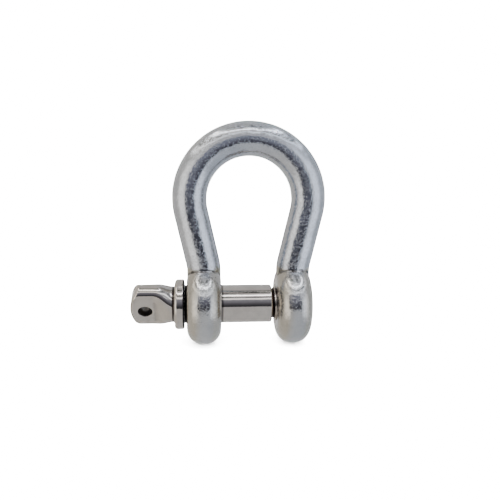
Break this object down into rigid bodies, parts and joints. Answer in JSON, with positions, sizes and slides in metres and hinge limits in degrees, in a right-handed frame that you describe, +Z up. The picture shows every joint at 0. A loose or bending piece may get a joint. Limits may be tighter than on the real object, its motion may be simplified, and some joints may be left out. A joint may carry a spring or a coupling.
{
  "type": "bow shackle",
  "caption": "Bow shackle: a round bar bent to a wide bow with an eye at each end, closed by a screw pin with a collar and a flat spade head drilled for a lanyard.",
  "frame": {"origin": "under the middle of the whole outline, on the surface that the two eyes stand on, with the pin's axis 11.6 mm above it", "axes": "+Z up from the pin to the crown of the bow, X along the pin with the spade head at -X and the threaded eye at +X, Y through the bow"},
  "size_m": [0.056, 0.0232, 0.0642],
  "materials": {
    "bow_steel": "polished cast stainless steel, a little mottled",
    "pin_steel": "polished forged stainless steel, warmer and brighter than the bow",
    "thread_steel": "cut stainless thread, satin"
  },
  "bodies": {
    "bow": {"bow_body": "bow_steel"},
    "pin": {"pin_shank": "pin_steel"},
    "pin_turning": {"pin_head": "pin_steel", "pin_thread": "thread_steel"}
  },
  "joints": [
    {"name": "pin_slide", "type": "slide", "parent": "bow", "child": "pin", "axis": [-1, 0, 0], "range_m": [-0.0007, 0.0368]},
    {"name": "pin_turn", "type": "hinge", "parent": "pin", "child": "pin_turning", "pos_m": [0.0061, 0, 0.0116], "axis": [-1, 0, 0], "range_deg": [-160, 8820]}
  ],
  "couplings": [
    {"joint": "pin_slide", "follows": "pin_turn", "m_per_rad": 0.00023873}
  ]
}
